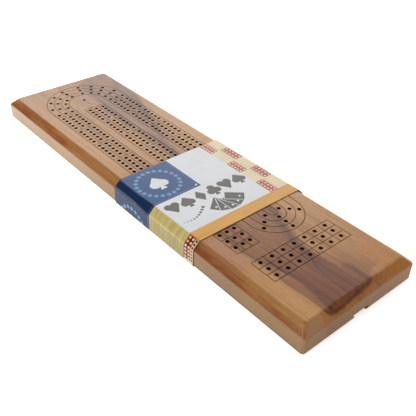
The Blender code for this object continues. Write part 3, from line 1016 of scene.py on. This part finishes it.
# ---------------- pegs

def peg_mesh(name, material):
    """A turned peg along X, with its tip at -X and its middle at the origin."""
    profile = [(distance * MM, radius * MM) for distance, radius in PEG_PROFILE]
    length = profile[-1][0]
    shape = bmesh.new()
    rings = []
    for distance, radius in profile:
        x = distance - length / 2
        if radius:
            rings.append([shape.verts.new((x, y, z)) for y, z in circle(0, 0, radius, PEG_SIDES)])
        else:
            rings.append([shape.verts.new((x, 0.0, 0.0))])
    for lower, upper in zip(rings, rings[1:]):
        if len(lower) == len(upper):
            bridge(shape, lower, upper)
            continue
        point, ring = sorted((lower, upper), key=len)
        for i in range(PEG_SIDES):
            dress(shape.faces.new((point[0], ring[i], ring[(i + 1) % PEG_SIDES])), smooth=True)
    mesh = mesh_from(name, shape)
    mesh.set_sharp_from_angle(angle=math.radians(50))
    mesh.materials.append(material)
    return mesh


def make_pegs():
    for metal_name, (colour, roughness) in METALS.items():
        slot = "peg_" + metal_name
        mesh = peg_mesh(slot + "_mesh", metal("turned_" + metal_name, colour, roughness))
        for number in (1, 2, 3):
            node = f"{slot}_{number}"
            low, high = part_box(node)
            peg = add(f"turned_{node}", mesh)
            peg.location = (low + high) / 2
            if number == 2:
                peg.rotation_euler = (0.0, 0.0, math.pi)
            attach(peg, node)
            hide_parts(node)


# ---------------- card band

# Inks in the order of the band's material slots
INKS = {
    "white": ((0.835, 0.845, 0.87), None),
    "blue": ((0.005, 0.064, 0.23), None),
    # a darker copy of the blue for the fold: painted shade
    "shaded_blue": ((0.002, 0.024, 0.095), None),
    "sky": ((0.12, 0.33, 0.56), None),
    "gold": ((0.83, 0.425, 0.071), (0.65, 0.30, 0.042)),
    "olive": ((0.81, 0.65, 0.26), (0.56, 0.42, 0.10)),
    "moss": ((0.50, 0.40, 0.17), (0.35, 0.26, 0.068)),
    "cream": ((0.89, 0.74, 0.47), None),
    "red": ((0.52, 0.09, 0.055), None),
    "deep_red": ((0.26, 0.004, 0.001), None),
    "grey": ((0.115, 0.115, 0.10), None),
}
# the card core's slot; its brown is darkened as a painted shadow at the band's edges
RAW_AND_GAP_SHADE = len(INKS)

# Where the printed areas meet along the board, in millimetres
PANEL_X = 36.0                  # from the blue panel to the printed grain
GOLD_X = 74.7                   # to the gold edge, on the top
LATTICE_X = 75.8                # to the red lattice, over the long edges
LATTICE_END_X = 82.4


def rectangle(x0, x1, s0, s1):
    """A rectangle given in millimetres along the board and round the band."""
    return [(x0, s0), (x1, s0), (x1, s1), (x0, s1)]


def grid_of_dots(x0, x1, s0, s1, columns, rows, radius, sides=8):
    for i in range(columns):
        for j in range(rows):
            x = x0 + (x1 - x0) * (i + 0.5) / columns
            s = s0 + (s1 - s0) * (j + 0.5) / rows
            yield circle(x, s, radius, sides)


def suit(kind, x, s, size):
    """A card suit drawn with simple outlines, `size` tall, its top pointing to -X."""
    def place(points):
        return [(x - v * size, s + u * size) for u, v in points]

    lobes = [circle(side * 0.22, -0.08, 0.24, 16) for side in (-1, 1)]
    stem = [(-0.03, -0.1), (-0.16, -0.5), (0.16, -0.5), (0.03, -0.1)]
    if kind == "diamond":
        shapes = [[(0.0, -0.5), (0.34, 0.0), (0.0, 0.5), (-0.34, 0.0)]]
    elif kind == "heart":
        tip = [(-0.44, 0.12), (0.0, -0.5), (0.44, 0.12)]
        shapes = [circle(side * 0.22, 0.2, 0.25, 16) for side in (-1, 1)] + [tip]
    elif kind == "spade":
        tip = [(-0.44, 0.0), (0.44, 0.0), (0.0, 0.5)]
        shapes = lobes + [tip, stem]
    else:
        shapes = lobes + [circle(0.0, 0.25, 0.24, 16), stem]
    return [place(points) for points in shapes]


def emblem(x, s):
    """A spade inside a ring of dots."""
    radius, dots = 16.6, 22
    for k in range(dots):
        angle = 2 * math.pi * (k + 0.5) / dots
        yield "sky", circle(x + radius * math.cos(angle), s + radius * math.sin(angle), 1.75, 10)
    for polygon in suit("spade", x, s, 17.0):
        yield "white", polygon


def blue_panel(edge, s_low):
    """The blue corner panel with its stitched border; its folded part is a darker blue, a painted shade
    for the dimmer light over the fold.
    """
    x0, x1, s1 = BAND_LOW.x / MM, PANEL_X, -5.1
    yield "blue", rectangle(x0, x1, -edge, s1)
    # Painted shade: the folded part takes the darker blue.
    yield "shaded_blue", rectangle(x0, x1, s_low, -edge)
    hem = 1.7
    stitch, pitch, half_width = 1.3, 2.1, 0.13
    for k in range(round((x1 - x0) / pitch)):
        x = x0 + 1.0 + k * pitch
        if x + stitch < x1 - hem:
            yield "moss", rectangle(x, x + stitch, s1 - hem - half_width, s1 - hem + half_width)
    for k in range(round((s1 - s_low) / pitch)):
        s = s1 - hem - 1.0 - k * pitch
        if s - stitch > s_low:
            yield "moss", rectangle(x1 - hem - half_width, x1 - hem + half_width, s - stitch, s)
    yield "cream", circle(x1 - 2.8, s1 - 2.5, 1.0, 10)
    yield from emblem(14.3, -28.5)
    yield from emblem(14.3, -78.5)


def grey_ornament():
    """A row of card suits and, beside it, a fan of five cards above a tapering run of dots."""
    kinds = ("spade", "heart", "club", "diamond", "spade", "heart")
    for i, kind in enumerate(kinds):
        for polygon in suit(kind, 46.3, 22.5 - i * 12.2, 13.0):
            yield "grey", polygon
    foot, card_start, card_end, card_half_width = Vector((54.5, -3.0)), 3.0, 18.5, 4.6
    for degrees in (-50, -25, 0, 25, 50):
        angle = math.radians(degrees)
        along = Vector((math.cos(angle), math.sin(angle)))
        across = Vector((-along.y, along.x))
        for ink, margin in (("white", 0.0), ("grey", 0.55)):
            near = foot + along * (card_start + margin)
            far = foot + along * (card_end - margin)
            half = across * (card_half_width - margin)
            yield ink, [tuple(near - half), tuple(far - half), tuple(far + half), tuple(near + half)]
        spot = foot + along * 14.5
        yield "white", circle(spot.x, spot.y, 0.95, 8)
    for i in range(9):
        share = i / 8
        x = 58.0 + 6.5 * share + 3.0 * math.sin(math.pi * share)
        yield "grey", circle(x, -21.5 - 2.7 * i, 1.35 - 0.95 * share, 10)


def checkered_strip():
    """Cream and red blocks with peg-like dots along the top's +Y edge."""
    x0, x1 = BAND_LOW.x / MM, GOLD_X - 0.1
    yield "cream", rectangle(x0, x1, 29.2, 47.4)
    outer, inner = (39.4, 46.6), (29.2, 36.5)
    outer_blocks = [(7.0, 25.2, *outer), (41.6, 58.0, *outer)]
    inner_blocks = [(x0, 7.0, *inner), (26.0, 41.6, *inner), (58.6, x1, *inner)]
    for block in outer_blocks + inner_blocks:
        yield "red", rectangle(*block)
        for dot in grid_of_dots(*block, 5, 2, 0.95):
            yield "cream", dot
    for k in range(34):
        yield "red", circle(x0 + 1.6 + k * 2.4, 37.9, 0.42, 6)


def side_prints(edge, foot, s_low, s_high):
    """The wood-grain print and the dotted red lattice that wrap over both long edges."""
    slope = math.hypot(CHAMFER_WIDTH, CHAMFER_DROP) / MM
    x_high = BAND_HIGH.x / MM
    for s0, s1 in ((s_low, -edge), (edge, s_high)):
        yield "moss", rectangle(PANEL_X, LATTICE_X, s0, s1)
        yield "olive", rectangle(PANEL_X, LATTICE_X, max(s0, -edge - slope), min(s1, edge + slope))
        yield "cream", rectangle(LATTICE_X, x_high, s0, s1)
    for s0, s1 in ((-foot, -edge), (edge, foot)):
        yield "deep_red", rectangle(LATTICE_X, LATTICE_END_X, s0, s1)
        for dot in grid_of_dots(LATTICE_X, LATTICE_END_X, s0, s1, 2, round((s1 - s0) / 3.2), 1.0, 12):
            yield "cream", dot
        for dot in grid_of_dots(LATTICE_END_X, x_high, s0, s1, 1, round((s1 - s0) / 2.75), 0.95, 12):
            yield "deep_red", dot
    yield "moss", rectangle(BAND_LOW.x / MM, PANEL_X, edge, s_high)


def band_artwork(edge, foot, s_low, s_high):
    """Every printed shape in painting order, as (ink, outline in mm); the plain card is white."""
    x0, x1 = BAND_LOW.x / MM, BAND_HIGH.x / MM
    under_low, under_high = s_low + 30.0, s_high - 22.0
    yield "white", rectangle(x0, x1, s_low, s_high)
    yield from side_prints(edge, foot, under_low, under_high)
    yield from checkered_strip()
    yield "gold", rectangle(GOLD_X, x1, -edge, edge)
    yield from blue_panel(edge, under_low)
    yield from grey_ornament()


def band_outline(inset, top_inset):
    """The folded section at a depth inside the card, from the seam up the -Y side and over the top."""
    side, low, high = BAND_HIGH.y - inset, BAND_LOW.z + inset, BAND_HIGH.z - top_inset
    shoulder = BAND_HIGH.y + BAND_HIGH.z - BAND_SHOULDER - inset * math.sqrt(2)
    right = [(side, low), (side, shoulder - side), (shoulder - high, high)]
    corners = right + mirrored(right)
    radii = [BAND_FOOT_RADIUS - inset, BAND_SIDE_RADIUS - inset, BAND_TOP_RADIUS - inset]
    folded = [point for point, _ in rounded(corners, radii + radii[::-1], BAND_FOLD_STEPS)]
    seam_start, seam_end = (Vector((SEAM_Y + shift, low)) for shift in (-SEAM_SLIT / 2, SEAM_SLIT / 2))
    return [seam_start, *reversed(folded), seam_end]


def distances(outline):
    """How far each fold is round the section, with 0 at the middle of the top."""
    travelled = [0.0]
    for a, b in zip(outline, outline[1:]):
        travelled.append(travelled[-1] + (b - a).length)
    first_on_top = 3 * (BAND_FOLD_STEPS + 1)
    zero = travelled[first_on_top] - outline[first_on_top].x
    return [t - zero for t in travelled]


def fold(outline, folds, s):
    """The point (y, z) of a section at a distance s round it."""
    i = min(max(bisect.bisect_right(folds, s) - 1, 0), len(folds) - 2)
    share = (s - folds[i]) / (folds[i + 1] - folds[i])
    return outline[i].lerp(outline[i + 1], share)


def make_band():
    outer = band_outline(0.0, 0.0)
    inner = band_outline(BAND_THICKNESS, BAND_HIGH.z - TOP_Z - BAND_TOP_GAP)
    folds = distances(outer)
    x0, x1 = BAND_LOW.x, BAND_HIGH.x
    edge = BAND_HIGH.y - BAND_SHOULDER
    foot = -folds[BAND_FOLD_STEPS + 1] - LATTICE_MARGIN
    artwork = list(band_artwork(edge / MM, foot / MM, folds[0] / MM, folds[-1] / MM))
    inks = list(INKS)
    regions = [[(x * MM, s * MM) for x, s in polygon] for _, polygon in artwork]
    outline = [(x0, folds[0]), (x1, folds[0]), (x1, folds[-1]), (x0, folds[-1])]
    creases = [((x0, s), (x1, s)) for s in folds[1:-1]]
    places, triangles, owners, _ = tile(outline, regions, creases)

    shape = bmesh.new()
    skin = [shape.verts.new((p.x, *fold(outer, folds, p.y))) for p in places]
    for triangle, owner in zip(triangles, owners):
        face = shape.faces.new([skin[i] for i in triangle])
        middle = sum(places[i].y for i in triangle) / 3
        strip = bisect.bisect_right(folds, middle) - 1
        dress(face, inks.index(artwork[owner][0]), smooth=strip % (BAND_FOLD_STEPS + 1) != 0)
    lining = {}
    for border in [e for e in shape.edges if len(e.link_faces) == 1]:
        for vert in border.verts:
            if vert not in lining:
                place = places[skin.index(vert)]
                lining[vert] = (place, shape.verts.new((place.x, *fold(inner, folds, place.y))))
        a, b = border.verts
        # The cut edges take the darkened card, a painted shadow for the gap between the band and the wood.
        dress(shape.faces.new((a, b, lining[b][1], lining[a][1])), RAW_AND_GAP_SHADE)
    for i, (s0, s1) in enumerate(zip(folds, folds[1:])):
        row = [(p, v) for p, v in lining.values() if s0 - CLOSE < p.y < s1 + CLOSE]
        start = sorted(((p.y, v) for p, v in row if p.x < x0 + CLOSE), key=lambda item: item[0])
        end = sorted(((p.y, v) for p, v in row if p.x > x1 - CLOSE), key=lambda item: -item[0])
        face = shape.faces.new([v for _, v in start + end])
        dress(face, RAW_AND_GAP_SHADE, smooth=i % (BAND_FOLD_STEPS + 1) != 0)
    finishes = [printed_card("print_" + ink, colour, grain) for ink, (colour, grain) in INKS.items()]
    finishes.append(raw_card_and_gap_shade("card_core_and_gap_shade"))
    band = make_object("printed_band", shape, finishes, "card_sleeve")
    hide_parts("card_sleeve")


def make_flap():
    """The glued inner end of the band, which backs the seam on the underside."""
    middle_z = BASE_Z - FIT_GAP / 2
    corner_steps = 2
    section = rounded_rectangle(FLAP_HALF_WIDTH, FLAP_THICKNESS / 2, FLAP_THICKNESS * 0.3, corner_steps)
    ends = (BAND_LOW.x + FLAP_INSET, BAND_HIGH.x - FLAP_INSET)
    rings = [[(x, SEAM_Y + p.x, middle_z + p.y) for p in section] for x in ends]
    shape = prism(rings, flat=lambda i: i % (corner_steps + 1) == corner_steps)
    make_object("band_glue_flap", shape, (raw_card_and_gap_shade("flap_card"),), "card_sleeve")


# ---------------- stage

FLOOR_SIZE = 6.0
FLOOR_GAP = 0.2 * MM            # below the band
FLOOR_GLOW_NEAR = 0.48
FLOOR_GLOW_FAR = 1.35
FLOOR_SEEN_GLOW = 0.2
VIEW_AZIMUTH = 48.81
VIEW_ELEVATION = 36.43
VIEW_ROLL = 1.575
VIEW_DISTANCE = 0.4315
VIEW_TARGET = Vector((60.4 * MM, -19.0 * MM, TOP_Z))
VIEW_LENS = 52.9                # millimetres, as the frame's width is
VIEW_FRAME = 36.0
SKY_LOW = 0.22                  # world light on the near side
SKY_HIGH = 3.56                 # and at its brightest, behind the board
SKY_SIDE = Vector((-0.5, 0.85, 0.0))    # towards the bright side
SKY_RISE = ((0.0, 0.5), (0.38, 0.52), (0.46, 0.87), (0.53, 1.0), (0.63, 0.35), (0.9, 0.27))


def look_matrix(target, azimuth, elevation, distance, roll=0.0):
    """Where something stands to look at a target; azimuth 0 looks along +Y and 90 along -X."""
    a, e, r = (math.radians(v) for v in (azimuth, elevation, roll))
    back = Vector((math.sin(a) * math.cos(e), -math.cos(a) * math.cos(e), math.sin(e)))
    level = Vector((math.cos(a), math.sin(a), 0.0))
    upright = back.cross(level)
    right = level * math.cos(r) + upright * math.sin(r)
    up = back.cross(right)
    turn = Matrix((right, up, back)).transposed().to_4x4()
    return Matrix.Translation(target + back * distance) @ turn


def make_floor():
    g = Finish("studio_floor", Roughness=0.9)
    paper = g.noise((0.02, 0.02, 0.02), detail=3.0)
    shade = g.mix(paper, (0.82, 0.82, 0.82), (0.84, 0.84, 0.84))
    away = g.vector("DOT_PRODUCT", g.place, (-0.8, -0.6, 0.0))
    glow = g.remap(g.step(away, -150.0, 200.0), FLOOR_GLOW_NEAR, FLOOR_GLOW_FAR)
    glow = g.math("MULTIPLY_ADD", g.node("LightPath").outputs["Is Camera Ray"], FLOOR_SEEN_GLOW, glow)
    seen_from_above = g.math("SUBTRACT", 1.0, g.node("NewGeometry").outputs["Backfacing"])
    g.set(Base_Color=shade, Alpha=seen_from_above)
    g.set(Emission_Color=(1.0, 1.0, 1.0, 1.0), Emission_Strength=glow)
    shape = bmesh.new()
    bmesh.ops.create_grid(shape, x_segments=1, y_segments=1, size=FLOOR_SIZE / 2)
    floor = make_object("studio_floor", mesh_from("studio_floor", shape, outward=False), (g.material,))
    floor.location.z = -FLOOR_GAP


def add_softbox(name, azimuth, elevation, distance, size, power):
    light = bpy.data.lights.new(name, "AREA")
    light.shape = "DISK"
    light.size = size
    light.energy = power
    item = add(name, light)
    item.matrix_world = look_matrix(Vector((0.0, 0.0, TOP_Z)), azimuth, elevation, distance)


def make_world():
    """A pale studio: bright behind and above the object, dimmer on the near side."""
    world = bpy.data.worlds.new("studio")
    bpy.context.scene.world = world
    g = Graph(world)
    direction = g.node("TexCoord").outputs["Generated"]
    toward = g.vector("DOT_PRODUCT", direction, SKY_SIDE.normalized())
    height = g.node("SeparateXYZ", Vector=direction).outputs["Z"]
    rise = g.node("ValToRGB", Fac=height)
    rise.color_ramp.interpolation = "EASE"
    stops = rise.color_ramp.elements
    for _ in SKY_RISE[2:]:
        stops.new(0.5)
    for stop, (at, share) in zip(stops, SKY_RISE):
        stop.position = at
        stop.color = (share, share, share, 1.0)
    glow = g.step(toward, 0.2, 0.7) * rise.outputs["Color"]
    glow = g.remap(glow, SKY_LOW, SKY_HIGH)
    seen = g.node("LightPath").outputs["Is Camera Ray"]
    backdrop = g.tree.nodes["Background"].inputs
    g.feed(backdrop["Color"], (1.0, 1.0, 1.0, 1.0))
    g.feed(backdrop["Strength"], g.node("Mix", Factor=seen, A=glow, B=1.0).outputs["Result"])


def make_camera():
    lens = bpy.data.cameras.new("camera")
    lens.lens = VIEW_LENS
    lens.sensor_width = VIEW_FRAME
    lens.clip_start = 0.01
    camera = add("camera", lens)
    camera.matrix_world = look_matrix(VIEW_TARGET, VIEW_AZIMUTH, VIEW_ELEVATION, VIEW_DISTANCE, VIEW_ROLL)
    bpy.context.scene.camera = camera
    bpy.context.scene.view_settings.view_transform = "Standard"


make_board()
make_lid()
make_pegs()
make_band()
make_flap()
make_floor()
make_world()
make_camera()
add_softbox("key", azimuth=5.0, elevation=38.0, distance=1.0, size=0.5, power=2.4)
